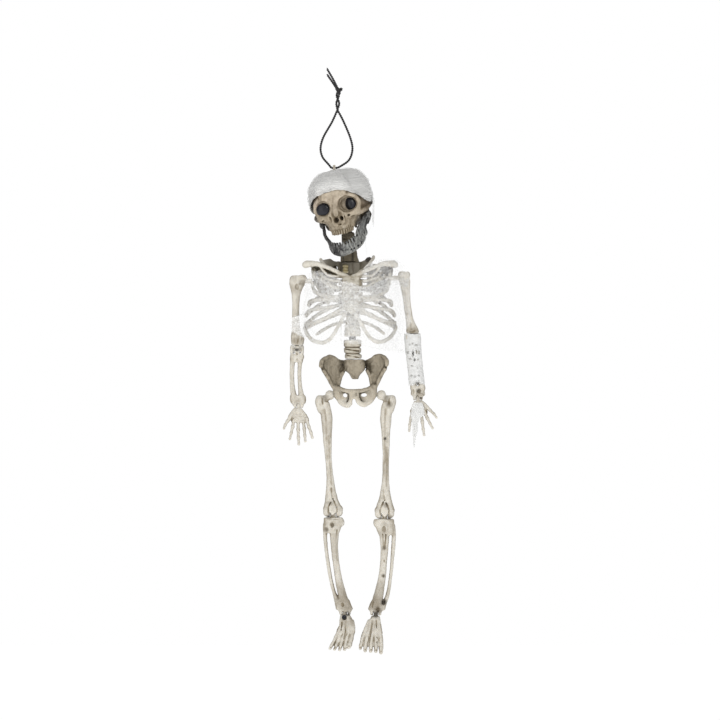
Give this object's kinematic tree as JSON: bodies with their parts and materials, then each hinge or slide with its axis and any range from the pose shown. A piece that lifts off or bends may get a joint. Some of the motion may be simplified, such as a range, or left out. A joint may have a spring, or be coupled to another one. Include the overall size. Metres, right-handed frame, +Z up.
{
  "type": "hanging jointed skeleton figure",
  "caption": "Hanging jointed plastic skeleton figure with an open jaw, torn gauze on the head, chest and forearm, and a cord loop on the crown",
  "frame": {"origin": "centre of the flat top of the hanging eye on the crown", "axes": "+Z is up along the hanging figure, the figure faces -Y, and its own left hand is on the +X side"},
  "size_m": [0.1263, 0.0569, 0.4818],
  "materials": {
    "pale_bone": "matt moulded plastic with a brown wash in the recesses",
    "dark_bone": "matt moulded plastic, heavier olive brown wash",
    "grey_bone": "black plastic dry brushed with pale grey",
    "gloss_black": "glossy black",
    "pin_plastic": "dark moulded pegs and rivets",
    "gauze": "open weave gauze, torn edges",
    "cord": "black braided cord"
  },
  "bodies": {
    "head": {"skull_face": "pale_bone", "skull_rear": "pale_bone", "eye_r": "gloss_black", "eye_l": "gloss_black", "jaw_pin_r": "pin_plastic", "jaw_pin_l": "pin_plastic", "neck_pin": "pin_plastic", "hang_eye": "pale_bone", "gauze_head_wrap": "gauze", "gauze_head_tail": "gauze"},
    "cord": {"hang_cord": "cord"},
    "jaw": {"jaw": "grey_bone"},
    "neck": {"neck_post": "dark_bone"},
    "torso": {"ribcage_front": "dark_bone", "ribcage_rear": "dark_bone", "waist_peg": "pin_plastic", "shoulder_peg_r": "dark_bone", "shoulder_peg_l": "dark_bone", "gauze_chest_r": "gauze", "gauze_chest_l": "gauze", "gauze_veil_l": "gauze"},
    "pelvis": {"lumbar_spine": "dark_bone", "pelvis": "dark_bone", "hip_pin_r": "pin_plastic", "hip_pin_l": "pin_plastic"},
    "upper_arm_r": {"humerus_r": "pale_bone", "elbow_pin_r": "pin_plastic"},
    "forearm_r": {"forearm_r": "pale_bone", "wrist_pin_r": "pin_plastic"},
    "hand_r": {"hand_r": "pale_bone"},
    "upper_arm_l": {"humerus_l": "pale_bone", "elbow_pin_l": "pin_plastic"},
    "forearm_l": {"forearm_l": "pale_bone", "wrist_pin_l": "pin_plastic", "gauze_forearm_l": "gauze"},
    "hand_l": {"hand_l": "pale_bone", "gauze_hand_strand_l": "gauze"},
    "thigh_r": {"femur_r": "pale_bone", "knee_pin_r": "pin_plastic"},
    "shank_r": {"shin_r": "pale_bone", "ankle_pin_r": "pin_plastic"},
    "foot_r": {"foot_r": "pale_bone"},
    "thigh_l": {"femur_l": "pale_bone", "knee_pin_l": "pin_plastic"},
    "shank_l": {"shin_l": "pale_bone", "ankle_pin_l": "pin_plastic"},
    "foot_l": {"foot_l": "pale_bone"}
  },
  "joints": [
    {"name": "cord_swing", "type": "hinge", "parent": "head", "child": "cord", "pos_m": [0, 0, -0.0022], "axis": [1, 0, 0], "range_deg": [-60, 60]},
    {"name": "jaw_hinge", "type": "hinge", "parent": "head", "child": "jaw", "pos_m": [0.00943, 0.00146, -0.04493], "axis": [0.9524, -0.225, 0.2059], "range_deg": [-12, 0]},
    {"name": "neck_nod", "type": "hinge", "parent": "head", "child": "neck", "pos_m": [0.01099, 0.00585, -0.04736], "axis": [0.9524, -0.225, 0.2059], "range_deg": [-3, 16]},
    {"name": "neck_turn", "type": "hinge", "parent": "neck", "child": "torso", "pos_m": [0.01221, 0.008, -0.08002], "axis": [0, 0, 1], "range_deg": [-50, 50]},
    {"name": "waist_turn", "type": "hinge", "parent": "torso", "child": "pelvis", "pos_m": [0.0151, 0.009, -0.14272], "axis": [0, 0, 1], "range_deg": [-35, 35]},
    {"name": "shoulder_r", "type": "hinge", "parent": "torso", "child": "upper_arm_r", "pos_m": [-0.02822, 0.002, -0.0957], "axis": [1, 0, 0], "range_deg": [-90, 25], "deforming": ["gauze_chest_r"]},
    {"name": "elbow_r", "type": "hinge", "parent": "upper_arm_r", "child": "forearm_r", "pos_m": [-0.03069, 0.002, -0.15221], "axis": [1, 0, 0], "range_deg": [-95, 0]},
    {"name": "wrist_r", "type": "hinge", "parent": "forearm_r", "child": "hand_r", "pos_m": [-0.02945, 0.002, -0.19759], "axis": [1, 0, 0], "range_deg": [-45, 35]},
    {"name": "shoulder_l", "type": "hinge", "parent": "torso", "child": "upper_arm_l", "pos_m": [0.05676, 0.002, -0.09323], "axis": [1, 0, 0], "range_deg": [-90, 25], "deforming": ["gauze_chest_l", "gauze_veil_l"]},
    {"name": "elbow_l", "type": "hinge", "parent": "upper_arm_l", "child": "forearm_l", "pos_m": [0.0646, 0.002, -0.14231], "axis": [1, 0, 0], "range_deg": [-95, 0]},
    {"name": "wrist_l", "type": "hinge", "parent": "forearm_l", "child": "hand_l", "pos_m": [0.06914, 0.002, -0.1914], "axis": [1, 0, 0], "range_deg": [-45, 35]},
    {"name": "hip_r", "type": "hinge", "parent": "pelvis", "child": "thigh_r", "pos_m": [-0.00347, 0.001, -0.18975], "axis": [1, 0, 0], "range_deg": [-75, 12]},
    {"name": "knee_r", "type": "hinge", "parent": "thigh_r", "child": "shank_r", "pos_m": [-0.00099, 0, -0.28545], "axis": [1, 0, 0], "range_deg": [0, 90]},
    {"name": "ankle_r", "type": "hinge", "parent": "shank_r", "child": "foot_r", "pos_m": [0.00891, 0.0005, -0.36795], "axis": [1, 0, 0], "range_deg": [-45, 12]},
    {"name": "hip_l", "type": "hinge", "parent": "pelvis", "child": "thigh_l", "pos_m": [0.03886, 0.001, -0.18975], "axis": [1, 0, 0], "range_deg": [-75, 12]},
    {"name": "knee_l", "type": "hinge", "parent": "thigh_l", "child": "shank_l", "pos_m": [0.0415, 0, -0.28669], "axis": [1, 0, 0], "range_deg": [0, 90]},
    {"name": "ankle_l", "type": "hinge", "parent": "shank_l", "child": "foot_l", "pos_m": [0.03432, 0.0005, -0.36836], "axis": [1, 0, 0], "range_deg": [-45, 12]}
  ]
}
